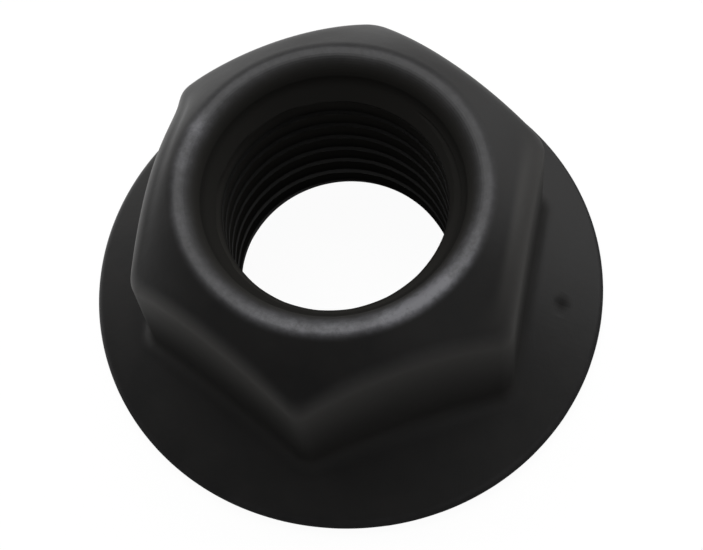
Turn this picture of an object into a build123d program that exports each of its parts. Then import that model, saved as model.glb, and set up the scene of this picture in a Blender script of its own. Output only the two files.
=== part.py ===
from build123d import *
import os
from math import cos, radians, sqrt, tan

# A serrated hexagon flange nut for a 12 mm fine thread, forged, pierced and tapped
# from one piece of steel. Millimetres, +Z along the bore. The origin is on the axis
# in the bearing plane: the nut stands on the crests of its serrations at Z = 0.

# --- Driving dimensions ---------------------------------------------------------
height = 12.0                # crests of the serrations to the top land
bore_diameter = 10.8         # plain wall at the thread's minor diameter

across_flats = 18.0          # wrench size
corner_radius = 1.0          # forged rounding of the hexagon's six corners, in plan
foot_radius = 0.8            # hollow where the hexagon grows out of the flange
crown_edge_radius = 0.4      # rounding between the domed crown and the hexagon's walls

mouth_diameter = 13.0        # inner edge of the flat ring on top
ring_width = 1.05            # of that ring, from the mouth to the crown
ring_edge_break = 0.2        # broken edges of that ring, inside and outside
dome_radius = 13.2           # the crown is part of a sphere of this radius, on the axis

lead_in_lean = 0.35          # how far the steep lead-in wall closes in below the mouth
lead_in_depth = 1.1          # top land to the foot of the lead-in wall
countersink_angle = 45.0     # degrees from level, at both ends of the thread

flange_diameter = 26.0       # widest point of the flange
bearing_margin = 1.1         # from the edge of the bearing plane out to the rim
rim_bevel_height = 0.45      # underside bevel from the bearing plane to the rim
rim_height = 0.95            # bearing plane to the foot of the flange's cone
rim_radius = 0.5             # rounding of the rim's upper edge
rim_edge_break = 0.15        # broken lower edge of the rim
flange_slope = 28.0          # degrees, slope of the flange's conical top

recess_diameter = 15.4       # dished recess inside the ring of teeth
recess_depth = 0.6
recess_wall_angle = 50.0     # degrees from level
exit_diameter = 12.8         # mouth of the countersink inside the recess

tooth_count = 30
tooth_depth = 0.3            # steep side of a tooth at the edge of the bearing plane
tooth_land_share = 0.16      # share of each tooth's pitch that stays flat

# --- Sizes that follow ----------------------------------------------------------
bore_radius = bore_diameter / 2
mouth_radius = mouth_diameter / 2
land_radius = mouth_radius + ring_width
lead_in_radius = mouth_radius - lead_in_lean
flange_radius = flange_diameter / 2
bearing_radius = flange_radius - bearing_margin
recess_radius = recess_diameter / 2
exit_radius = exit_diameter / 2

sink_rise = tan(radians(countersink_angle))
thread_top = height - lead_in_depth - (lead_in_radius - bore_radius) * sink_rise
thread_bottom = recess_depth + (exit_radius - bore_radius) * sink_rise
recess_floor_radius = recess_radius - recess_depth / tan(radians(recess_wall_angle))
cone_height = rim_height + flange_radius * tan(radians(flange_slope))
overshoot = 1.0              # how far a cutting profile runs past the face it cuts
hair = 0.01                  # two heights or lengths closer than this count as equal

dome_centre = height - sqrt(dome_radius**2 - land_radius**2)

# One groove between two teeth: an upright steep side, and a ramp that rises from the
# next tooth's flat. Both run to the origin, so the groove narrows towards the bore.
pitch_angle = 360 / tooth_count
steep_side_slope = tan(radians(pitch_angle * tooth_land_share / 2))
ramp_foot_slope = tan(radians(pitch_angle * (1 - tooth_land_share / 2)))
groove_start = recess_floor_radius - overshoot
groove_end = flange_radius + overshoot
ramp_foot = Vector(1, ramp_foot_slope, 0)
ramp_head = Vector(bearing_radius, bearing_radius * steep_side_slope, tooth_depth)

with BuildPart() as groove:
    with BuildSketch(Plane.XY.offset(-overshoot)):
        with BuildLine():
            Polyline(
                (groove_start, groove_start * steep_side_slope),
                (groove_end, groove_end * steep_side_slope),
                (groove_end, groove_end * ramp_foot_slope),
                (groove_start, groove_start * ramp_foot_slope),
                close=True,
            )
        make_face()
    extrude(amount=overshoot + rim_height)
    split(bisect_by=Plane((0, 0, 0), x_dir=ramp_foot, z_dir=ramp_head.cross(ramp_foot)), keep=Keep.BOTTOM)


with BuildPart() as flange_nut:
    # Hexagonal drive, cut to the domed crown
    with BuildSketch() as hexagon:
        RegularPolygon(across_flats / 2, 6, major_radius=False, rotation=30)
        fillet(hexagon.vertices(), corner_radius)
    extrude(amount=height)
    with Locations((0, 0, dome_centre)):
        Sphere(dome_radius, mode=Mode.INTERSECT)
    crown_edges = (
        flange_nut.edges()
        .filter_by(lambda edge: edge.bounding_box().max.Z < height - hair)
        .filter_by(lambda edge: edge.bounding_box().min.Z > rim_height)
        .filter_by(lambda edge: edge.bounding_box().size.Z < edge.length - hair)
    )
    fillet(crown_edges, crown_edge_radius)

    # Flange with its conical top, rounded rim and bevelled underside
    with BuildSketch(Plane.XZ) as flange:
        with BuildLine():
            Polyline(
                (0, 0),
                (bearing_radius, 0),
                (flange_radius, rim_bevel_height),
                (flange_radius, rim_height),
                (0, cone_height),
                close=True,
            )
        make_face()
        rim_corners = flange.vertices().filter_by(lambda corner: corner.X > bearing_radius + hair)
        fillet(rim_corners.sort_by(Axis.Y)[-1], rim_radius)
        rim_corners = flange.vertices().filter_by(lambda corner: corner.X > flange_radius - hair)
        chamfer(rim_corners.sort_by(Axis.Y)[0], rim_edge_break)
    revolve(axis=Axis.Z)

    # Hollow foot, where the hexagon's walls meet the flange's cone
    foot_edges = (
        flange_nut.edges()
        .filter_by(lambda edge: edge.bounding_box().min.Z > rim_height)
        .filter_by(lambda edge: edge.bounding_box().max.Z < height / 2)
        .filter_by(lambda edge: edge.bounding_box().size.Z < edge.length - hair)
    )
    fillet(foot_edges, foot_radius)

    # Bore with its lead-in above, its countersink below and the dished recess
    with BuildSketch(Plane.XZ) as bore:
        with BuildLine():
            Polyline(
                (0, -overshoot),
                (recess_radius, -overshoot),
                (recess_radius, 0),
                (recess_floor_radius, recess_depth),
                (exit_radius, recess_depth),
                (bore_radius, thread_bottom),
                (bore_radius, thread_top),
                (lead_in_radius, height - lead_in_depth),
                (mouth_radius, height),
                (mouth_radius, height + overshoot),
                (0, height + overshoot),
                close=True,
            )
        make_face()
    revolve(axis=Axis.Z, mode=Mode.SUBTRACT)

    # Broken edges of the ring on top
    ring = flange_nut.faces().sort_by(Axis.Z)[-1]
    chamfer(ring.edges(), ring_edge_break)

    # Serrations: ramps that let the nut turn on, with steep backs that bite when it turns off
    with PolarLocations(0, tooth_count):
        add(groove.part, mode=Mode.SUBTRACT)

flange_nut.part.label = "flange_nut"

os.makedirs("parts", exist_ok=True)
export_step(flange_nut.part, "parts/flange_nut.step")

part = flange_nut.part
print("flange_nut: volume", round(part.volume, 1), "mm3, solids", len(part.solids()))
print("size", part.bounding_box().size)
print("thread wall from", round(thread_bottom, 3), "to", round(thread_top, 3))
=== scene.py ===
# %% [markdown]
# # A serrated flange nut, dressed in Blender
#
# The nut is one forged, pierced and tapped piece of steel with a thin black finish.
# The packed CAD frame gives its exact box and its place. This lesson builds one closed
# surface over that frame with Geometry Nodes, cuts the fine thread that the plain CAD
# bore stands in for, and gives the steel its worn black skin.

# %% Load the frame and measure it
from math import cos, degrees, pi, radians, sin, tan

import bpy
import numpy as np
from mathutils import Matrix, Vector


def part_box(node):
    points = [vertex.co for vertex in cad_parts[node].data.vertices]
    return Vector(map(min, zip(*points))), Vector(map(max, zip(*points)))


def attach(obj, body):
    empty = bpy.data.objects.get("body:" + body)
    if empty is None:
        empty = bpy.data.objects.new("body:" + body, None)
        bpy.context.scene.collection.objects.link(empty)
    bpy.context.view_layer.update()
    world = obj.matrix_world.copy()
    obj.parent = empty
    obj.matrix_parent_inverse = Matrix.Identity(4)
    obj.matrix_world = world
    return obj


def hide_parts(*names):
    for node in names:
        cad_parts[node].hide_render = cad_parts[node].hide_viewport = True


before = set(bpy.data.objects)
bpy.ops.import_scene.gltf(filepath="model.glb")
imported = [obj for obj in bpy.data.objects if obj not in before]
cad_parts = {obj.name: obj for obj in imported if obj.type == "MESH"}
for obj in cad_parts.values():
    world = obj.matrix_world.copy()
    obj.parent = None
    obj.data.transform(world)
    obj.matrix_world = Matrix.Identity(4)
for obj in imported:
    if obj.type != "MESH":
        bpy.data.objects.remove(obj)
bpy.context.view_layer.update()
low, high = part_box("flange_nut")
MM = 0.001
print("CAD box in mm:", [round(value / MM, 2) for value in (*low, *high)])

# %% [markdown]
# ## The nut's sizes
#
# A nut is round about its axis apart from its six walls, its teeth and its thread, so
# nearly every size is a radius or a height. The widest radius and the height come from
# the frame. The others are the sizes of the real nut, in metres. They are kept together
# in one list, because each of them becomes a named input of the node tree.

# %% Sizes of the nut
flange_radius = high[0]
height = high[2]

SIZES = {
    "Height": height,
    "Half across flats": 9.15 * MM,
    "Corner radius": 1.0 * MM,
    "Ring inner radius": 6.55 * MM,
    "Ring outer radius": 7.5 * MM,
    "Dome radius": 13.2 * MM,
    "Flange radius": flange_radius,
    "Flange slope": tan(radians(28.0)),
    "Rim top": 0.95 * MM,
    "Rim bottom": 0.45 * MM,
    "Bearing radius": 11.9 * MM,
    "Tooth depth": 0.3 * MM,
    "Recess radius": 7.7 * MM,
    "Recess depth": 0.6 * MM,
    "Recess wall slope": tan(radians(50.0)),
    "Exit radius": 6.4 * MM,
    "Lead-in radius": 6.15 * MM,
    "Lead-in depth": 1.1 * MM,
    "Thread minor radius": 5.4 * MM,
    "Thread major radius": 6.02 * MM,
    "Thread pitch": 1.25 * MM,
}
WALL_COUNT = 6
TOOTH_COUNT = 30
print(len(SIZES), "sizes,", WALL_COUNT, "walls,", TOOTH_COUNT, "teeth")

# %% [markdown]
# ## Arithmetic on fields
#
# In Geometry Nodes a formula is a chain of Math nodes. Wiring them one by one hides the
# formula, so this small class lets a socket be added, multiplied and compared as if it
# were a number. Each operation adds one Math node and returns its output.


# %% A socket that can be calculated with
class Field:
    """An output socket of the tree, on which arithmetic adds Math nodes."""

    def __init__(self, tree, socket):
        self.tree = tree
        self.socket = socket

    def math(self, operation, *others):
        node = self.tree.nodes.new("ShaderNodeMath")
        node.operation = operation
        for slot, value in enumerate((self, *others)):
            if isinstance(value, Field):
                self.tree.links.new(value.socket, node.inputs[slot])
            else:
                node.inputs[slot].default_value = value
        return Field(self.tree, node.outputs[0])

    def __add__(self, other):
        return self.math("ADD", other)

    def __radd__(self, other):
        return self.math("ADD", other)

    def __sub__(self, other):
        return self.math("SUBTRACT", other)

    def __rsub__(self, other):
        return (self * -1.0) + other

    def __mul__(self, other):
        return self.math("MULTIPLY", other)

    def __truediv__(self, other):
        return self.math("DIVIDE", other)

    def above(self, other):
        """One where this field is the larger, and zero elsewhere."""
        return self.math("GREATER_THAN", other)

    def largest(self, other):
        return self.math("MAXIMUM", other)

    def clamped(self):
        """Held between zero and one."""
        return self.math("MINIMUM", 1.0).largest(0.0)

    def wrapped(self, turn):
        """What is left after whole turns are taken away."""
        return self.math("FLOORED_MODULO", turn)

    def mixed(self, other, share):
        """This field where share is 0, the other where it is 1."""
        return self + (other - self) * share


def smooth(x):
    """A ramp from 0 to 1 with level ends."""
    return x * x * (3.0 - x * 2.0)


def leg(long_side, short_side):
    """The other short side of a right-angled triangle."""
    return (long_side * long_side - short_side * short_side).math("SQRT")


own_words = [word for word in vars(Field) if not word.startswith("__")]
print("a Field also knows:", ", ".join(own_words))

# %% [markdown]
# ## The grid that becomes the nut
#
# The surface is one sheet of columns and rows, closed both ways like a tube bent into a
# ring. A column goes once round the nut's section: up the lead-in, over the ring on top,
# down the crown and the wall, out over the flange, back under its teeth and up the
# threaded bore. A row goes once round the axis.
#
# The section is drawn as a polygon whose corners are rounded, and each corner and each
# side gets its own number of rows. Rows are spent where the form turns, so a forged edge
# shows as a real rounding and not as a trick of shading.

# %% Rows of the section, piece by piece
COLUMNS_PER_TOOTH = 10
COLUMNS = COLUMNS_PER_TOOTH * TOOTH_COUNT

SECTION_ROWS = {
    "lead_in_wall": 2,
    "mouth_corner": 9,
    "ring": 3,
    "ring_corner": 6,
    "dome": 20,
    "crown_corner": 12,
    "wall": 10,
    "foot_corner": 12,
    "cone": 23,
    "rim_top_corner": 7,
    "rim": 2,
    "rim_bottom_corner": 6,
    "bevel": 3,
    "tooth_outer_corner": 2,
    "tooth": 8,
    "tooth_inner_corner": 2,
    "recess_wall": 2,
    "recess_corner": 4,
    "recess_floor": 3,
    "exit_corner": 3,
    "bore": 164,
    "lead_in_corner": 4,
}
ROWS = sum(SECTION_ROWS.values())
print("grid:", COLUMNS, "columns by", ROWS, "rows,", 2 * COLUMNS * ROWS, "triangles")

# %% [markdown]
# ## Setting up the tree
#
# Every size is a named input of the tree, so it can be changed in the modifier panel. A
# Mesh Circle swept along a curve could make the round parts, but not the walls and the
# teeth, so the tree starts from a flat grid instead. Each vertex works out its own
# column and row from its index.


# %% The tree and its named inputs
def new_tree(name, sizes):
    """An empty geometry tree with one named input for each size."""
    tree = bpy.data.node_groups.new(name, "GeometryNodeTree")
    sockets = tree.interface
    for label, value in sizes.items():
        entry = sockets.new_socket(name=label, in_out="INPUT", socket_type="NodeSocketFloat")
        entry.default_value = value
    sockets.new_socket(name="Material", in_out="INPUT", socket_type="NodeSocketMaterial")
    sockets.new_socket(name="Geometry", in_out="OUTPUT", socket_type="NodeSocketGeometry")
    inputs = tree.nodes.new("NodeGroupInput")
    size = {label: Field(tree, inputs.outputs[label]) for label in sizes}
    return tree, inputs, size


tree, group_in, size = new_tree("flange_nut_surface", SIZES)
links = tree.links
print("tree", tree.name, "with", len(SIZES) + 1, "named inputs")

# %% The flat grid, and each vertex's column and row
NUDGE = 1e-4  # keeps a rounding error from dropping a whole number by one

grid = tree.nodes.new("GeometryNodeMeshGrid")
grid.inputs["Vertices X"].default_value = COLUMNS + 1
grid.inputs["Vertices Y"].default_value = ROWS + 1

vertex = Field(tree, tree.nodes.new("GeometryNodeInputIndex").outputs[0])
column = (vertex / (ROWS + 1.0) + NUDGE).math("FLOOR")
row = vertex - column * (ROWS + 1.0)
print("flat grid of", (COLUMNS + 1) * (ROWS + 1), "vertices")

# %% [markdown]
# ## Which piece of the section a vertex is in
#
# A vertex finds its piece by counting how many pieces start below its row. Its share of
# the piece runs from zero at the first row to one at the next piece's first row. From
# here on, anything that differs from piece to piece is picked by an Index Switch node.

# %% Piece and share
starts = {}
rows_below = 0
for name, count in SECTION_ROWS.items():
    starts[name] = rows_below
    rows_below = rows_below + count
piece = sum((row + 0.5).above(start) for start in list(starts.values())[1:])


def by_piece(**values):
    """One field for the whole grid from a value for each piece, zero where none is named."""
    node = tree.nodes.new("GeometryNodeIndexSwitch")
    node.data_type = "FLOAT"
    while len(node.index_switch_items) < len(SECTION_ROWS):
        node.index_switch_items.new()
    links.new(piece.socket, node.inputs["Index"])
    for socket, name in zip(node.inputs[1:], SECTION_ROWS):
        value = values.get(name, 0.0)
        if isinstance(value, Field):
            links.new(value.socket, socket)
        else:
            socket.default_value = value
    return Field(tree, node.outputs[0])


share = (row - by_piece(**starts)) / by_piece(**SECTION_ROWS)
print(len(starts), "pieces, the last one starts at row", starts["lead_in_corner"])

# %% [markdown]
# ## Three ways to go round
#
# Rows need their columns in different places. The walls need columns crowded at the six
# corners, the teeth need one at each edge of each tooth, and the thread needs them even.
# A column may slide along a surface of revolution without changing its shape, so it
# slides on the crown, on the flange's cone and on the recess floor, and stands still
# where the form has edges.

# %% Even columns, and columns crowded at the walls' corners
TURN = 2.0 * pi
HALF_WALL = pi / WALL_COUNT
CORNER_CROWDING = 0.7

even_angle = column * (TURN / COLUMNS)
to_corner = even_angle - HALF_WALL
crowding = (to_corner * WALL_COUNT).math("SINE") * (CORNER_CROWDING / WALL_COUNT)
corner_angle = even_angle - crowding
print("even columns are", round(degrees(TURN / COLUMNS), 2), "degrees apart")

# %% Columns at the teeth's edges
TOOTH_PITCH = TURN / TOOTH_COUNT
TOOTH_LAND = 0.16 * TOOTH_PITCH
STEEP_SIDE = 0.012 * TOOTH_PITCH
LAND_COLUMNS = 3
RAMP_COLUMNS = COLUMNS_PER_TOOTH - LAND_COLUMNS

tooth = (column / COLUMNS_PER_TOOTH + NUDGE).math("FLOOR")
step = column - tooth * COLUMNS_PER_TOOTH
on_ramp = step.above(LAND_COLUMNS - 0.5)
land_angle = step * (TOOTH_LAND / 2) - TOOTH_LAND / 2
ramp_share = (step - LAND_COLUMNS) / RAMP_COLUMNS
ramp_start = TOOTH_LAND / 2 + STEEP_SIDE
ramp_angle = ramp_share * (TOOTH_PITCH - TOOTH_LAND / 2 - ramp_start) + ramp_start
tooth_angle = tooth * TOOTH_PITCH + land_angle.mixed(ramp_angle, on_ramp)
tooth_share = on_ramp * (1.0 - ramp_share)
print("a tooth every", round(degrees(TOOTH_PITCH), 1), "degrees,")
print("its land is", round(degrees(TOOTH_LAND), 2), "degrees wide")

# %% [markdown]
# ## The hexagon in polar form
#
# Seen from above, a wall of the hexagon lies at a distance of apothem / cos(a), where a
# is the angle from the middle of that wall. Near a corner the wall gives way to a round
# corner, a circle whose centre stands back from the corner by its radius.

# %% How far the wall is from the axis
half_flats = size["Half across flats"]
round_corner = size["Corner radius"]
from_wall = (corner_angle + HALF_WALL).wrapped(2.0 * HALF_WALL) - HALF_WALL
flat_reach = half_flats / from_wall.math("COSINE")

from_edge = HALF_WALL - from_wall.math("ABSOLUTE")
centre_reach = (half_flats - round_corner) / cos(HALF_WALL)
across = centre_reach * from_edge.math("SINE")
beyond_centre = (round_corner * round_corner - across * across).largest(0.0).math("SQRT")
corner_reach = centre_reach * from_edge.math("COSINE") + beyond_centre

half_flat = (half_flats - round_corner) * tan(HALF_WALL)
flat_end = (half_flat / half_flats).math("ARCTANGENT")
in_corner = from_wall.math("ABSOLUTE").above(flat_end)
wall_reach = flat_reach.mixed(corner_reach, in_corner)
flats_in_mm = 2 * SIZES["Half across flats"] / MM
print("hexagon", round(flats_in_mm, 2), "mm across flats")

# %% [markdown]
# ## The section's corners
#
# These are the corners of the polygon, each a pair of radius and height. The crown is
# part of a sphere that meets the ring, and the flange's top is a cone, so both have a
# height at every distance from the axis. The hexagon stands between them.


# %% Corners of the upper side
dome_centre = size["Height"] - leg(size["Dome radius"], size["Ring outer radius"])


def dome_height(reach):
    """Height of the spherical crown at this distance from the axis."""
    return dome_centre + leg(size["Dome radius"], reach)


def cone_height(reach):
    """Height of the flange's conical top."""
    return size["Rim top"] + (size["Flange radius"] - reach) * size["Flange slope"]


lead_in_foot = (size["Lead-in radius"], size["Height"] - size["Lead-in depth"])
mouth = (size["Ring inner radius"], size["Height"])
ring_edge = (size["Ring outer radius"], size["Height"])
wall_foot = (wall_reach, cone_height(wall_reach))
rim_top = (size["Flange radius"], size["Rim top"])
rim_bottom = (size["Flange radius"], size["Rim bottom"])
ring_width = SIZES["Ring outer radius"] - SIZES["Ring inner radius"]
print("ring", round(ring_width / MM, 2), "mm wide")

# %% [markdown]
# ## The teeth
#
# The teeth are a ratchet: each has a flat crest, a steep side and a long ramp. A groove
# gets deeper in proportion to its distance from the axis, so its floor rises towards
# the rim. It meets the bevel further out, and the recess further in, than the crest
# does. A tooth can be cut from a disc with a Boolean, but moving these two corners up
# and down with the groove's depth gives the same form with clean faces.

# %% Corners of the underside
bearing_edge = (size["Bearing radius"], 0.0)
bevel_slope = size["Rim bottom"] / (size["Flange radius"] - size["Bearing radius"])
groove_slope = tooth_share * size["Tooth depth"] / size["Bearing radius"]
bevel_reach = size["Bearing radius"] * bevel_slope / (bevel_slope - groove_slope)
tooth_outer = (bevel_reach, groove_slope * bevel_reach)

recess_slope = size["Recess wall slope"]
recess_reach = size["Recess radius"] * recess_slope / (recess_slope + groove_slope)
tooth_inner = (recess_reach, groove_slope * recess_reach)
recess_corner = (
    size["Recess radius"] - size["Recess depth"] / recess_slope,
    size["Recess depth"],
)
exit_corner = (size["Exit radius"], size["Recess depth"])
print(TOOTH_COUNT, "teeth,", round(SIZES["Tooth depth"] / MM, 2), "mm deep at the bearing's edge")

# %% [markdown]
# ## The countersinks
#
# Both ends of the thread open in a countersink of 45 degrees, which lets a bolt find its
# way in. At that angle a countersink goes as far along the axis as it closes in.

# %% Where the countersinks would meet the thread's crests
minor_radius = size["Thread minor radius"]
exit_closing = size["Exit radius"] - minor_radius
lead_in_closing = size["Lead-in radius"] - minor_radius
exit_sink_end = (minor_radius, exit_corner[1] + exit_closing)
lead_in_sink_end = (minor_radius, lead_in_foot[1] - lead_in_closing)
sink_depth = SIZES["Lead-in radius"] - SIZES["Thread minor radius"]
print("upper countersink", round(sink_depth / MM, 2), "mm deep")

# %% [markdown]
# ## Straight sides and rounded corners
#
# A rounded corner is a curve that starts on one side of the polygon, a short way before
# the corner, and ends on the next. A parabola does this with three points and is hard to
# tell from an arc at this size.


# %% Helpers for sides and corners
def toward(corner, other, distance):
    """The point this far from a corner on the way to another point."""
    run = other[0] - corner[0]
    rise = other[1] - corner[1]
    length = (run * run + rise * rise).math("SQRT")
    return corner[0] + run * distance / length, corner[1] + rise * distance / length


def straight(start, end):
    """A straight side from one point to the next, at this row's share of it."""
    return start[0].mixed(end[0], share), start[1].mixed(end[1], share)


def rounded(start, corner, end):
    """A parabola that leaves start for the corner and arrives at end from it."""
    first = (1.0 - share) * (1.0 - share)
    middle = (1.0 - share) * share * 2.0
    last = share * share
    return (
        start[0] * first + corner[0] * middle + end[0] * last,
        start[1] * first + corner[1] * middle + end[1] * last,
    )


print("helpers ready,", len(tree.nodes), "nodes so far")

# %% [markdown]
# ## How far each rounding reaches
#
# A forged edge is rounder than a cut one. The hollow foot reaches furthest, then the
# mouth, which is worn round, and the crown's edge. The teeth are nearly sharp. Each
# rounding has two lengths: how far before its corner it starts, and how far past it
# ends.

# %% Where each rounding starts and ends
ROUNDING = {
    "mouth_corner": (0.8 * MM, 0.62 * MM),
    "ring_corner": (0.22 * MM, 0.26 * MM),
    "crown_corner": (0.6 * MM, 0.7 * MM),
    "foot_corner": (0.9 * MM, 0.9 * MM),
    "rim_top_corner": (0.36 * MM, 0.32 * MM),
    "rim_bottom_corner": (0.16 * MM, 0.18 * MM),
    "tooth_outer_corner": (0.06 * MM, 0.06 * MM),
    "tooth_inner_corner": (0.06 * MM, 0.06 * MM),
    "recess_corner": (0.18 * MM, 0.18 * MM),
    "exit_corner": (0.12 * MM, 0.12 * MM),
    "lead_in_corner": (0.25 * MM, 0.25 * MM),
}


def round_off(name, before, corner, after):
    """The two points where a corner's rounding starts and ends."""
    back, forward = ROUNDING[name]
    return toward(corner, before, back), toward(corner, after, forward)


bore_end, lead_in_start = round_off("lead_in_corner", lead_in_sink_end, lead_in_foot, mouth)
lead_in_end, ring_start = round_off("mouth_corner", lead_in_foot, mouth, ring_edge)
cone_end, rim_start = round_off("rim_top_corner", wall_foot, rim_top, rim_bottom)
rim_end, bevel_start = round_off("rim_bottom_corner", rim_top, rim_bottom, bearing_edge)
bevel_end, tooth_start = round_off("tooth_outer_corner", rim_bottom, tooth_outer, tooth_inner)
tooth_end, recess_wall_start = round_off(
    "tooth_inner_corner", tooth_outer, tooth_inner, recess_corner
)
recess_wall_end, recess_floor_start = round_off(
    "recess_corner", tooth_inner, recess_corner, exit_corner
)
recess_floor_end, bore_start = round_off(
    "exit_corner", recess_corner, exit_corner, exit_sink_end
)
widest = max(max(pair) for pair in ROUNDING.values())
print(len(ROUNDING), "roundings, the widest reaches", round(widest / MM, 2), "mm")

# %% [markdown]
# ## The crown's edge and the hollow foot
#
# The crown meets each wall in an arc, highest in the wall's middle and lowest at the
# corners, because a sphere falls away from its axis and the corners are furthest out.
# Its edge is rounded along the sphere's own slope there. At the foot the wall swings
# out into the cone, as metal does that was forged round a die. A Bevel modifier would
# round both, but by one width all round, and it would spoil the even rows.

# %% Points of the crown, the wall and the foot
ring_end = toward(ring_edge, mouth, ROUNDING["ring_corner"][0])
dome_start_reach = size["Ring outer radius"] + ROUNDING["ring_corner"][1]
dome_start = (dome_start_reach, dome_height(dome_start_reach))

crown_in, crown_down = ROUNDING["crown_corner"]
dome_end_reach = wall_reach - crown_in
dome_end = (dome_end_reach, dome_height(dome_end_reach))
dome_slope = dome_end_reach / leg(size["Dome radius"], dome_end_reach)
crown_corner = (wall_reach, dome_end[1] - dome_slope * crown_in)
wall_start = (wall_reach, crown_corner[1] - crown_down)

foot_up, foot_out = ROUNDING["foot_corner"]
wall_end = (wall_reach, wall_foot[1] + foot_up)
cone_start = toward(wall_foot, rim_top, foot_out)

dome_reach = dome_start_reach.mixed(dome_end_reach, share)
dome = (dome_reach, dome_height(dome_reach))
print("crown's edge rounded over", round((crown_in + crown_down) / MM, 2), "mm")

# %% [markdown]
# ## The thread
#
# A screw thread is a groove that climbs by one pitch each turn. At any point of the bore
# the distance from the middle of the groove follows from the height less the climb at
# that angle. The wall is the deeper of the groove and the countersinks at both ends, so
# the groove runs out in them as a tapped one does.

# %% Height and radius of the bore's rows
FLANK_ANGLE = radians(30.0)
GROOVE_BOTTOM_SHARE = 1.0 / 16.0  # half of the flat at the groove's bottom, per pitch

bore_height = bore_start[1].mixed(bore_end[1], share)
pitch = size["Thread pitch"]
climb = even_angle * pitch / TURN
from_groove = ((bore_height - climb).wrapped(pitch) - pitch / 2.0).math("ABSOLUTE")
thread_depth = size["Thread major radius"] - minor_radius
flank = thread_depth * tan(FLANK_ANGLE)
up_the_flank = (from_groove - pitch * GROOVE_BOTTOM_SHARE) / flank
groove_share = 1.0 - smooth(up_the_flank.clamped())
thread_reach = minor_radius + thread_depth * groove_share

lower_sink = size["Exit radius"] + size["Recess depth"] - bore_height
upper_sink = bore_height - lead_in_foot[1] + size["Lead-in radius"]
bore_reach = thread_reach.largest(lower_sink).largest(upper_sink)
turns = (height - SIZES["Lead-in depth"] - SIZES["Recess depth"]) / SIZES["Thread pitch"]
print("about", round(turns, 1), "turns of thread, countersinks included")

# %% [markdown]
# ## Joining the pieces
#
# The ends of neighbouring pieces are the same points, so the section closes. The list
# below is the whole nut: one line for each side and one for each corner, in the order
# in which the rows pass them.

# %% The whole section as a list of pieces
POINTS = {
    "lead_in_wall": straight(lead_in_start, lead_in_end),
    "mouth_corner": rounded(lead_in_end, mouth, ring_start),
    "ring": straight(ring_start, ring_end),
    "ring_corner": rounded(ring_end, ring_edge, dome_start),
    "dome": dome,
    "crown_corner": rounded(dome_end, crown_corner, wall_start),
    "wall": straight(wall_start, wall_end),
    "foot_corner": rounded(wall_end, wall_foot, cone_start),
    "cone": straight(cone_start, cone_end),
    "rim_top_corner": rounded(cone_end, rim_top, rim_start),
    "rim": straight(rim_start, rim_end),
    "rim_bottom_corner": rounded(rim_end, rim_bottom, bevel_start),
    "bevel": straight(bevel_start, bevel_end),
    "tooth_outer_corner": rounded(bevel_end, tooth_outer, tooth_start),
    "tooth": straight(tooth_start, tooth_end),
    "tooth_inner_corner": rounded(tooth_end, tooth_inner, recess_wall_start),
    "recess_wall": straight(recess_wall_start, recess_wall_end),
    "recess_corner": rounded(recess_wall_end, recess_corner, recess_floor_start),
    "recess_floor": straight(recess_floor_start, recess_floor_end),
    "exit_corner": rounded(recess_floor_end, exit_corner, bore_start),
    "bore": (bore_reach, bore_height),
    "lead_in_corner": rounded(bore_end, lead_in_foot, lead_in_start),
}
reach = by_piece(**{name: point[0] for name, point in POINTS.items()})
rise = by_piece(**{name: point[1] for name, point in POINTS.items()})
print("section of", len(POINTS), "pieces,", len(tree.nodes), "nodes so far")

# %% [markdown]
# ## Which columns each piece follows
#
# On the walls the columns stand crowded at the corners, under the flange they stand at
# the teeth's edges, and in the bore they stand even. On the crown, the cone and the
# recess floor they slide from one to the other.

# %% The angle of each vertex
sliding = smooth(share)
at_corners = by_piece(
    dome=sliding,
    crown_corner=1.0,
    wall=1.0,
    foot_corner=1.0,
    cone=1.0 - sliding,
)
names = list(SECTION_ROWS)
toothed = names[names.index("rim_top_corner"):names.index("recess_floor")]
at_teeth = by_piece(cone=sliding, recess_floor=1.0 - sliding, **dict.fromkeys(toothed, 1.0))
angle = even_angle + (corner_angle - even_angle) * at_corners
angle = angle + (tooth_angle - even_angle) * at_teeth
print(len(toothed), "pieces follow the teeth:", toothed[0], "to", toothed[-1])

# %% [markdown]
# ## The worn ring and its painted highlight
#
# The ring on top is where a washer face, a bench and other nuts rub, so the black skin
# is thin there and grey steel shows all round, with two small bright knocks on one side.
# The four broad bright sides are painted highlight: the same grey, laid where the ring
# catches the light and strongest on one side. Painting a mask by hand would do, but a mask
# that follows the surface is exact: each side is a lobe, one in its own direction and
# fading to zero beside it, and a sharper lobe is narrower.


# %% How worn the skin is, and where the ring's highlight is painted
def lobe(direction, sharpness):
    """One on the side of the nut that faces this way, in degrees, fading to zero beside it."""
    facing = (even_angle - radians(direction)).math("COSINE").largest(0.0)
    return facing.math("POWER", sharpness)


RING_RUBBED_ALL_ROUND = 0.25
# The four broad lobes are painted highlight where the ring catches the light; the two sharp ones
# are knocks, and the all-round share is worn steel.
RING_RUBS_AND_HIGHLIGHTS = (
    # direction in degrees, sharpness, strength
    (180.0, 4.0, 0.3),
    (280.0, 4.0, 0.95),
    (322.0, 14.0, 1.6),
    (0.0, 6.0, 0.15),
    (163.0, 260.0, 0.7),
    (178.0, 500.0, 0.35),
)
CROWN_EDGE_RUB = 0.08
RIM_RUB = 0.1
TOOTH_RUB = 0.15

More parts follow.
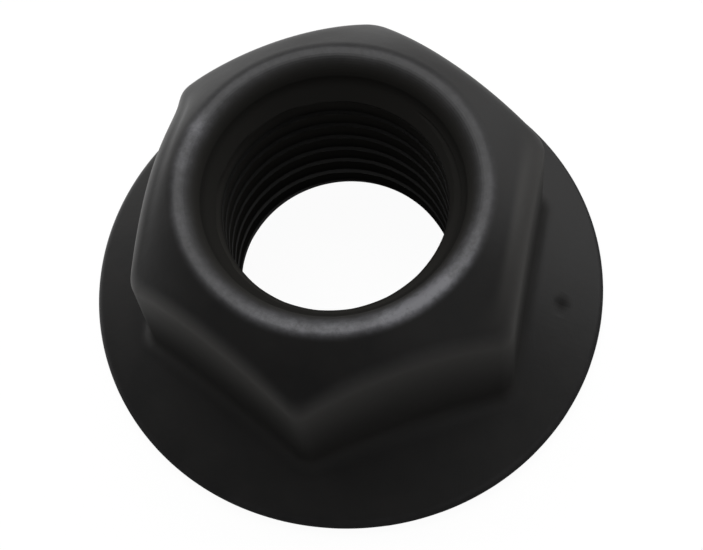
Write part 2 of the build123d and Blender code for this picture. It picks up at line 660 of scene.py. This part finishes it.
ring_rub_and_highlight = sum(lobe(way, sharpness) * strength for way, sharpness, strength in RING_RUBS_AND_HIGHLIGHTS)
ring_wear_and_highlight = ring_rub_and_highlight + RING_RUBBED_ALL_ROUND
hump = share * (1.0 - share) * 4.0
wear_and_highlight = by_piece(
    mouth_corner=smooth(share) * ring_wear_and_highlight,
    ring=ring_wear_and_highlight,
    ring_corner=(1.0 - smooth(share)) * ring_wear_and_highlight,
    crown_corner=hump * CROWN_EDGE_RUB,
    rim_top_corner=hump * RIM_RUB,
    tooth=TOOTH_RUB,
)
print(len(RING_RUBS_AND_HIGHLIGHTS), "rubbed sides of the ring")

# %% [markdown]
# ## Painted light on the walls
#
# The walls get a painted highlight under the crown's edge, which leaves them a little
# greyer there than at the foot. The grey fades down the wall and ends in the hollow foot,
# and the crown's outer part and edge are painted lighter on the sides that face the light.

# %% How much painted light the walls get
FOOT_LIGHT = 0.2
EDGE_HIGHLIGHT = 0.75
ONE_SIDE_HIGHLIGHT = 0.25
SIDE_LIGHT = 0.3

# Painted highlight under the crown's edge, stronger on one side, and painted light on one side of
# the crown.
edge_highlight = lobe(236.0, 6.0) * ONE_SIDE_HIGHLIGHT + EDGE_HIGHLIGHT
side_light = lobe(0.0, 8.0) * SIDE_LIGHT
outer_half = ((share - 0.5) * 2.0).clamped()
down_the_wall = (1.0 - share) * (1.0 - share)
# The flats mask is painted highlight, fading down each wall towards the foot.
flats = by_piece(
    dome=smooth(outer_half) * side_light,
    crown_corner=side_light.mixed(edge_highlight, smooth(share)),
    wall=(edge_highlight - FOOT_LIGHT) * down_the_wall + FOOT_LIGHT,
    foot_corner=(1.0 - smooth(share)) * FOOT_LIGHT,
)
print("walls rubbed", EDGE_HIGHLIGHT, "under the crown and", FOOT_LIGHT, "at the foot")

# %% [markdown]
# ## The dark bore
#
# The tapped bore has a duller, sooty skin, and little light gets into it. The grooves
# would come out black and its crests too bright, so the grooves are painted lighter than
# the crests: painted light in the grooves' shade. The lead-in's colour is nearly as dark
# as the crests', painted a little lighter towards the mouth.

# %% Where the bore's skin is, and how much painted light it gets
LEAD_IN_TONE = 0.85
LEAD_IN_FADE = 0.2
MOUTH_TONE = 0.65
CREST_SHARPNESS = 2.0
LAST_TURN = 9.4 * MM
LAST_TURN_FADE = 1.0 * MM

bore = by_piece(
    bore=1.0,
    lead_in_corner=1.0,
    lead_in_wall=1.0,
    exit_corner=0.5,
    mouth_corner=1.0 - smooth(share),
)
in_thread = (thread_reach - upper_sink).above(0.0)
near_mouth = ((bore_height - LAST_TURN) / LAST_TURN_FADE).clamped()
crest_tone = (1.0 - groove_share).math("POWER", CREST_SHARPNESS)
# Share of the dark crest colour; the rest is painted light, in the grooves and towards the mouth.
crest = by_piece(
    bore=crest_tone.mixed(LEAD_IN_TONE, near_mouth.largest(1.0 - in_thread)),
    lead_in_corner=LEAD_IN_TONE,
    lead_in_wall=LEAD_IN_TONE - share * LEAD_IN_FADE,
    mouth_corner=MOUTH_TONE,
)
print("the thread's tone fades out above", round(LAST_TURN / MM, 2), "mm")

# %% [markdown]
# ## Small faults of the forging
#
# No forging is perfect. The two halves of a die never meet exactly, so the hexagon sits
# a tenth of a millimetre off the flange's centre, and metal that doesn't fill the die
# leaves a wall short beside a corner. Another wall stands a little proud, and the flange
# bulges on one side. Only the outside moves: the ring and the bore are cut later and
# stay true, so the shift grows over the crown and fades over the cone.

# %% A shifted hexagon, two uneven walls and a bulge
HEXAGON_SHIFT = 0.1 * MM
PROUD_WALL = 0.1 * MM
SHORT_WALL = 0.3 * MM
FLANGE_BULGE = 0.14 * MM

on_hexagon = by_piece(
    dome=smooth(share),
    crown_corner=1.0,
    wall=1.0,
    foot_corner=1.0,
    cone=1.0 - smooth(share),
)
on_rim = by_piece(
    cone=smooth(share),
    rim_top_corner=1.0,
    rim=1.0,
    rim_bottom_corner=1.0,
    bevel=1.0 - smooth(share),
)
reach = reach + on_hexagon * lobe(115.0, 12.0) * PROUD_WALL
reach = reach - on_hexagon * lobe(163.0, 40.0) * SHORT_WALL
reach = reach + on_rim * lobe(320.0, 5.0) * FLANGE_BULGE
east = reach * angle.math("COSINE") + on_hexagon * HEXAGON_SHIFT
north = reach * angle.math("SINE")
print("largest fault:", round(SHORT_WALL / MM, 2), "mm short beside one corner")

# %% [markdown]
# ## A pit in the flange
#
# A scale of oxide pressed into the hot metal leaves a shallow round pit. It is a real
# dent in the surface, deepest in its middle. It touches only the cone: the flange's
# underside lies in the same direction, so anything near the floor is left out.

# %% Lower the cone inside the pit
PIT_PLACE = (11.0 * MM, -0.06 * MM, 2.0 * MM)
PIT_RADIUS = 0.55 * MM
PIT_DEPTH = 0.08 * MM
UNDERSIDE = 0.5 * MM

aside = east - PIT_PLACE[0]
along = north - PIT_PLACE[1]
from_pit = (aside * aside + along * along).math("SQRT")
in_pit = smooth((1.0 - from_pit / PIT_RADIUS).clamped())
above_underside = (rise - UNDERSIDE).above(0.0)
rise = rise - in_pit * above_underside * PIT_DEPTH
print("pit", round(2 * PIT_RADIUS / MM, 2), "mm wide,", round(PIT_DEPTH / MM, 2), "mm deep")

# %% [markdown]
# ## What the material will read
#
# The four masks are stored on the points under names of their own. A material reads
# them with an Attribute node, so the wear follows the surface exactly.


# %% Store the masks on the grid
def store_attribute(geometry, name, value):
    """Writes a field to the points under a name that a material can read."""
    node = tree.nodes.new("GeometryNodeStoreNamedAttribute")
    node.data_type = "FLOAT"
    node.domain = "POINT"
    node.inputs["Name"].default_value = name
    links.new(geometry, node.inputs["Geometry"])
    links.new(value.socket, node.inputs["Value"])
    return node.outputs["Geometry"]


MASKS = {"wear_and_highlight": wear_and_highlight, "flats": flats, "bore": bore, "crest": crest}
sheet = grid.outputs["Mesh"]
for name, mask in MASKS.items():
    sheet = store_attribute(sheet, name, mask)
print("masks stored:", ", ".join(MASKS))

# %% [markdown]
# ## From numbers to a mesh
#
# The last nodes move each vertex of the flat grid to its place, weld the two seams,
# keep the teeth's edges crisp while everything gentler is shaded smooth, and set the
# material.

# %% Place and weld
WELD = 0.002 * MM

position = tree.nodes.new("ShaderNodeCombineXYZ")
for axis, value in {"X": east, "Y": north, "Z": rise}.items():
    links.new(value.socket, position.inputs[axis])

place = tree.nodes.new("GeometryNodeSetPosition")
links.new(sheet, place.inputs["Geometry"])
links.new(position.outputs["Vector"], place.inputs["Position"])

weld = tree.nodes.new("GeometryNodeMergeByDistance")
weld.inputs["Distance"].default_value = WELD
links.new(place.outputs["Geometry"], weld.inputs["Geometry"])
print("points closer than", round(WELD / MM, 4), "mm are welded")

# %% Shade and finish
CRISP = radians(38.0)

edge_node = tree.nodes.new("GeometryNodeInputMeshEdgeAngle")
edge_angle = Field(tree, edge_node.outputs["Unsigned Angle"])
gentle = (CRISP - edge_angle).above(0.0)
shade = tree.nodes.new("GeometryNodeSetShadeSmooth")
shade.domain = "EDGE"
links.new(weld.outputs["Geometry"], shade.inputs["Geometry"])
links.new(gentle.socket, shade.inputs["Shade Smooth"])

realize = tree.nodes.new("GeometryNodeRealizeInstances")
links.new(shade.outputs["Geometry"], realize.inputs["Geometry"])
finish = tree.nodes.new("GeometryNodeSetMaterial")
links.new(realize.outputs["Geometry"], finish.inputs["Geometry"])
links.new(group_in.outputs["Material"], finish.inputs["Material"])
group_out = tree.nodes.new("NodeGroupOutput")
links.new(finish.outputs["Geometry"], group_out.inputs["Geometry"])
print("tree finished with", len(tree.nodes), "nodes")

# %% [markdown]
# ## Wiring a material
#
# A material is a tree of nodes too. This helper adds a node and gives each of its inputs
# either a constant or another node's output, so that a finish reads as a short list. The
# nut, the floor and the world all use it.


# %% A helper that adds and wires shader nodes
class Wiring:
    """Adds nodes to the tree of a material or a world."""

    def __init__(self, owner):
        owner.use_nodes = True
        self.nodes = owner.node_tree.nodes
        self.links = owner.node_tree.links

    def feed(self, node, inputs):
        """Sets each input to a constant or links it to an output."""
        for slot, value in inputs.items():
            if isinstance(value, bpy.types.NodeSocket):
                self.links.new(value, node.inputs[slot])
            else:
                node.inputs[slot].default_value = value

    def add(self, kind, inputs, **settings):
        node = self.nodes.new(kind)
        for name, value in settings.items():
            setattr(node, name, value)
        self.feed(node, inputs)
        return node

    def math(self, operation, *values, clamp=False):
        inputs = dict(enumerate(values))
        node = self.add("ShaderNodeMath", inputs, operation=operation, use_clamp=clamp)
        return node.outputs[0]

    def mix(self, share, first, second, kind="RGBA"):
        """The first value where share is 0, the second where it is 1."""
        inputs = {"Factor": share, "A": first, "B": second}
        return self.add("ShaderNodeMix", inputs, data_type=kind).outputs["Result"]

    def stretch(self, value, start, end, to_start, to_end, **settings):
        """Maps start to end onto another range, and stops at its ends."""
        inputs = {
            "Value": value,
            "From Min": start,
            "From Max": end,
            "To Min": to_start,
            "To Max": to_end,
        }
        return self.add("ShaderNodeMapRange", inputs, **settings).outputs["Result"]


print("Wiring can:", ", ".join(word for word in vars(Wiring) if not word.startswith("__")))

# %% [markdown]
# ## The black skin
#
# The finish is a thin dark layer grown on the steel. It is nearly black and has a soft
# sheen. It is never quite even, so two noises drive everything that varies: blotches
# about two millimetres wide, and a fine grain. Both read the nut's own coordinates, so
# they stay with it when it moves.

# %% Two noises and the skin's tone
BLOTCHES_PER_METRE = 420.0
GRAINS_PER_METRE = 3200.0
DARK_SKIN = (0.006, 0.0057, 0.0056, 1)
PALE_SKIN = (0.0105, 0.0095, 0.009, 1)

black_steel = bpy.data.materials.new("black_steel")
steel = Wiring(black_steel)
skin_shader = steel.nodes["Principled BSDF"]
on_nut = steel.add("ShaderNodeTexCoord", {}).outputs["Object"]


def noise(scale, detail, roughness):
    inputs = {"Vector": on_nut, "Scale": scale, "Detail": detail, "Roughness": roughness}
    return steel.add("ShaderNodeTexNoise", inputs).outputs["Fac"]


blotches = noise(BLOTCHES_PER_METRE, detail=4.0, roughness=0.6)
grain = noise(GRAINS_PER_METRE, detail=6.0, roughness=0.7)
tone = steel.add("ShaderNodeValToRGB", {"Fac": blotches})
dark_stop, pale_stop = tone.color_ramp.elements
dark_stop.position = 0.35
dark_stop.color = DARK_SKIN
pale_stop.position = 0.68
pale_stop.color = PALE_SKIN
print("blotches about", round(1000.0 / BLOTCHES_PER_METRE, 1), "mm wide")

# %% [markdown]
# ## Where grey steel and painted light show
#
# The skin wears through to grey metal on the ring, whose broad lit sides get the same grey
# as painted highlight, and the walls get a painted highlight. The mask of worn steel and
# highlight is multiplied by the blotches and by the grain, so that its edge is ragged as on
# real metal. The bore has colours of its own: painted light for the grooves and a dark
# tone for the crests.

# %% The colour
# Grey steel where the skin is worn, and the same grey as painted highlight on the ring's lit
# sides.
GREY_STEEL_AND_HIGHLIGHT = (0.18, 0.18, 0.196, 1)
# Painted highlight on the walls.
WALL_HIGHLIGHT = (0.13, 0.126, 0.118, 1)
# Painted light for the thread's shaded grooves; the crests keep a dark skin.
GROOVE_PAINTED_LIGHT = (0.075, 0.072, 0.0655, 1)
CREST_SKIN = (0.011, 0.0106, 0.0098, 1)
LEAST_WEAR = 0.5  # of the stored wear, in the darkest blotch
MOST_WEAR = 1.5


def mask(name):
    """A mask that the geometry tree stored."""
    return steel.add("ShaderNodeAttribute", {}, attribute_name=name).outputs["Fac"]


patches = steel.stretch(blotches, 0.3, 0.7, LEAST_WEAR, MOST_WEAR)
uneven = steel.math("MULTIPLY", mask("wear_and_highlight"), patches)
# Worn grey steel plus painted highlight on the ring, with a ragged edge.
greyed_and_highlit = steel.math("MULTIPLY", uneven, grain, clamp=True)
in_bore = mask("bore")
# The walls' painted highlight over the blotched skin.
on_wall = steel.mix(mask("flats"), tone.outputs["Color"], WALL_HIGHLIGHT)
on_ring = steel.mix(greyed_and_highlit, on_wall, GREY_STEEL_AND_HIGHLIGHT)
# Dark crests and grooves painted light.
bore_skin_and_groove_light = steel.mix(mask("crest"), GROOVE_PAINTED_LIGHT, CREST_SKIN)
colour = steel.mix(in_bore, on_ring, bore_skin_and_groove_light)
steel.feed(skin_shader, {"Base Color": colour, "Metallic": 0.0})
print("four skins: black, wall, ring and bore")

# %% [markdown]
# ## Where the skin is dull
#
# The outside has the soft sheen of oiled oxide. The bore and the pit hold soot and dirt
# and hardly shine, so they are rougher and reflect less. The pit's dullness fades out a
# little past its edge.

# %% Roughness and shine
ROUGH_FROM = 0.40
ROUGH_TO = 0.54
DULL = 0.8
SHINE = 0.5
DULL_SHINE = 0.06
PIT_DULLNESS = 0.5
PIT_EDGE = 1.2 * PIT_RADIUS

from_middle = steel.add("ShaderNodeVectorMath", {0: on_nut, 1: PIT_PLACE}, operation="DISTANCE")
dirt = steel.stretch(
    from_middle.outputs["Value"], 0.0, PIT_EDGE, PIT_DULLNESS, 0.0, interpolation_type="SMOOTHSTEP"
)
dullness = steel.math("MAXIMUM", in_bore, dirt)
outside = steel.stretch(blotches, 0.0, 1.0, ROUGH_FROM, ROUGH_TO)
roughness = steel.mix(dullness, outside, DULL, kind="FLOAT")
shine = steel.stretch(dullness, 0.0, 1.0, SHINE, DULL_SHINE)
steel.feed(skin_shader, {"Roughness": roughness, "Specular IOR Level": shine})
print("roughness", ROUGH_FROM, "to", ROUGH_TO, "outside,", DULL, "in the bore")

# %% [markdown]
# ## The feel of the surface
#
# A forged face is slightly lumpy, and the grown skin has a fine tooth. Both are far too
# shallow to need faces of their own, so two Bump nodes in a row tilt the light instead:
# first the lumps, then the grain on top of them.


# %% Lumps and grain
def add_bump(height_map, strength, distance):
    inputs = {"Height": height_map, "Strength": strength, "Distance": distance}
    return steel.add("ShaderNodeBump", inputs)


lumps = add_bump(blotches, strength=0.5, distance=0.05 * MM)
grainy = add_bump(grain, strength=0.25, distance=0.02 * MM)
steel.feed(grainy, {"Normal": lumps.outputs["Normal"]})
steel.feed(skin_shader, {"Normal": grainy.outputs["Normal"]})
print("material", black_steel.name, "with", len(steel.nodes), "nodes")

# %% [markdown]
# ## From the tree to a plain mesh
#
# The modifier's inputs are set by their identifiers before the object is evaluated. The
# result is copied to a plain mesh, the modifier goes, and the mesh is turned outwards if
# its volume comes out negative.


# %% Evaluate the tree
def nodes_to_object(name, tree, material):
    """Runs the tree once and returns its result as a plain mesh object."""
    holder = bpy.data.objects.new(name, bpy.data.meshes.new(name))
    bpy.context.scene.collection.objects.link(holder)
    modifier = holder.modifiers.new("surface", "NODES")
    modifier.node_group = tree
    for entry in tree.interface.items_tree:
        if entry.in_out == "INPUT" and entry.name in SIZES:
            modifier[entry.identifier] = SIZES[entry.name]
        elif entry.in_out == "INPUT":
            modifier[entry.identifier] = material
    bpy.context.view_layer.update()
    evaluated = holder.evaluated_get(bpy.context.evaluated_depsgraph_get())
    mesh = bpy.data.meshes.new_from_object(evaluated)
    holder.modifiers.clear()
    holder.data = mesh
    return holder


nut = nodes_to_object("nut_body", tree, black_steel)
print("nut:", len(nut.data.vertices), "vertices,", len(nut.data.polygons), "faces")


# %% Turn the faces outwards
def volume_of(mesh):
    """Signed volume: positive when the faces point outwards."""
    mesh.calc_loop_triangles()
    points = np.empty(len(mesh.vertices) * 3)
    mesh.vertices.foreach_get("co", points)
    corners = np.empty(len(mesh.loop_triangles) * 3, dtype=np.int32)
    mesh.loop_triangles.foreach_get("vertices", corners)
    a, b, c = points.reshape(-1, 3)[corners.reshape(-1, 3)].transpose(1, 0, 2)
    return float(np.einsum("ij,ij->i", a, np.cross(b, c)).sum() / 6)


if volume_of(nut.data) < 0:
    nut.data.flip_normals()
print("volume in mm3:", round(volume_of(nut.data) / MM**3, 1))

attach(nut, "root")
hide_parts("flange_nut")

# %% [markdown]
# ## Where things stand round the nut
#
# The floor's bright side, the lamps and the camera are all placed as one would say it in
# a studio: to the right of the camera, away from it, and up. One helper turns that into
# the nut's own frame, so that turning the camera turns the whole studio with it.

# %% From the camera's side to the nut's frame
CAMERA_TURN = radians(19.81)


def around(right, back, up):
    """A point given to the camera's right, away from it and up, in the nut's frame."""
    return (
        right * cos(CAMERA_TURN) - back * sin(CAMERA_TURN),
        right * sin(CAMERA_TURN) + back * cos(CAMERA_TURN),
        up,
    )


print("the camera stands", round(degrees(CAMERA_TURN), 2), "degrees round from the front")

# %% [markdown]
# ## Floor
#
# The nut stands on a flat, pale floor. To the camera the floor gives off its own white,
# so next to no shadow shows and the background stays plain. The nut sees it otherwise:
# bright behind and dim in front, as where a sheet of paper ends near the camera. That
# keeps the walls that face the camera dark. The Light Path node tells the two apart.

# %% The floor's material
FLOOR_WHITE = (0.96, 0.96, 0.96, 1)
FLOOR_GREY = (0.06, 0.06, 0.06, 1)
FLOOR_BEHIND = 1.0
FLOOR_IN_FRONT = 0.09
FULLY_BEHIND = 0.9  # how nearly a place has to lie straight behind to be brightest


def make_floor_material(back):
    """White to the camera, and dimmer in reflections in front than behind."""
    material = bpy.data.materials.new("pale_floor")
    floor = Wiring(material)
    rays = floor.add("ShaderNodeLightPath", {}).outputs
    seen = floor.math("MAXIMUM", rays["Is Camera Ray"], rays["Is Transmission Ray"])
    bounced = floor.math("MAXIMUM", rays["Is Glossy Ray"], rays["Is Diffuse Ray"])
    spot = floor.add("ShaderNodeTexCoord", {}).outputs["Object"]
    heading = floor.add("ShaderNodeVectorMath", {0: spot}, operation="NORMALIZE")
    behind = floor.add(
        "ShaderNodeVectorMath", {0: heading.outputs["Vector"], 1: back}, operation="DOT_PRODUCT"
    )
    mirrored = floor.stretch(
        behind.outputs["Value"], 0.0, FULLY_BEHIND, FLOOR_IN_FRONT, FLOOR_BEHIND
    )
    strength = floor.math("MULTIPLY_ADD", bounced, mirrored, seen)
    floor.feed(
        floor.nodes["Principled BSDF"],
        {
            "Base Color": FLOOR_GREY,
            "Roughness": 0.9,
            "Emission Color": FLOOR_WHITE,
            "Emission Strength": strength,
        },
    )
    return material


pale_floor = make_floor_material(around(-0.3, 0.95, 0.0))
print("material", pale_floor.name, "bright behind", FLOOR_BEHIND, "and in front", FLOOR_IN_FRONT)


# %% The floor itself
def make_floor(reach):
    """A square of floor that reaches this far to each side."""
    mesh = bpy.data.meshes.new("floor")
    corners = [(-reach, -reach, 0), (reach, -reach, 0), (reach, reach, 0), (-reach, reach, 0)]
    mesh.from_pydata(corners, [], [(0, 1, 2, 3)])
    mesh.materials.append(pale_floor)
    floor = bpy.data.objects.new("floor", mesh)
    bpy.context.scene.collection.objects.link(floor)
    return floor


FLOOR_REACH = 0.5
floor = make_floor(FLOOR_REACH)
print("floor", floor.dimensions[0], "m square")

# %% [markdown]
# ## Light
#
# Five soft panels stand round the nut. The one above and behind is the main light and
# shapes the ring and the crown. The one on the right lights the flange there. Those at
# the back, on the left and in front are weak and only draw edges. So the walls that face
# the camera stay dim, which is what lets a black part read as black.


# %% Lamps
def add_panel(name, place, width, length, power):
    """A lamp in metres and watts, turned to the middle of the nut."""
    light = bpy.data.lights.new(name, "AREA")
    light.shape = "RECTANGLE"
    light.size = width
    light.size_y = length
    light.energy = power
    lamp = bpy.data.objects.new(name, light)
    lamp.location = place
    middle = Vector((0.0, 0.0, height / 2))
    lamp.rotation_euler = (middle - Vector(place)).to_track_quat("-Z", "Y").to_euler()
    bpy.context.scene.collection.objects.link(lamp)
    return lamp


panels = [
    add_panel("panel_top", around(0.0, 0.16, 0.36), width=0.36, length=0.30, power=0.83),
    add_panel("panel_back", around(-0.12, 0.42, 0.05), width=0.40, length=0.10, power=0.10),
    add_panel("panel_left", around(-0.26, 0.34, 0.16), width=0.40, length=0.30, power=0.07),
    add_panel("panel_right", around(0.34, 0.18, 0.16), width=0.40, length=0.32, power=0.37),
    add_panel("panel_front", around(0.24, -0.26, 0.16), width=0.30, length=0.30, power=0.055),
]
print(len(panels), "panels,", round(sum(lamp.data.energy for lamp in panels), 3), "W in all")

# %% [markdown]
# ## The world behind everything
#
# The world is plain white where the camera looks past the floor. To everything else it
# is a dim, even light that fills the shadows.

# %% World
WORLD_LIGHT = 0.155


def make_world():
    """White to the camera, and a dim even light to everything else."""
    world = bpy.data.worlds.new("studio")
    sky = Wiring(world)
    rays = sky.add("ShaderNodeLightPath", {}).outputs
    seen = sky.math("MAXIMUM", rays["Is Camera Ray"], rays["Is Transmission Ray"])
    level = sky.stretch(seen, 0.0, 1.0, WORLD_LIGHT, 1.0)
    sky.feed(sky.nodes["Background"], {"Color": (1, 1, 1, 1), "Strength": level})
    return world


bpy.context.scene.world = make_world()
print("world light", WORLD_LIGHT)

# %% [markdown]
# ## Camera
#
# The camera stands close and looks steeply down at the nut, so the ring and the bore
# show first and the flange spreads below them. It is rolled a little, as a camera held
# in the hand is.

# %% Place the camera
ELEVATION = radians(66.14)
DISTANCE = 99.31 * MM
ROLL = radians(-9.65)
LENS_MM = 98.06
SENSOR_MM = 36.0
NEAREST = 0.01


def add_camera():
    """A camera that looks at a point just behind the nut's axis."""
    aim = Vector(around(0.21 * MM, 0.74 * MM, 0.0))
    place = Vector(around(0.0, -DISTANCE * cos(ELEVATION), DISTANCE * sin(ELEVATION)))
    lens = bpy.data.cameras.new("camera")
    lens.sensor_width = SENSOR_MM
    lens.lens = LENS_MM
    lens.clip_start = NEAREST
    camera = bpy.data.objects.new("camera", lens)
    facing = (aim - place).to_track_quat("-Z", "Y").to_matrix().to_4x4()
    camera.matrix_world = Matrix.Translation(place) @ facing @ Matrix.Rotation(ROLL, 4, "Z")
    bpy.context.scene.collection.objects.link(camera)
    bpy.context.scene.camera = camera
    return camera


camera = add_camera()
bpy.context.scene.view_settings.view_transform = "Standard"
print("camera at", [round(value / MM, 1) for value in camera.matrix_world.translation], "mm")

# %% [markdown] ## The nut's box The finished nut has to fill the same box
# as its CAD frame.
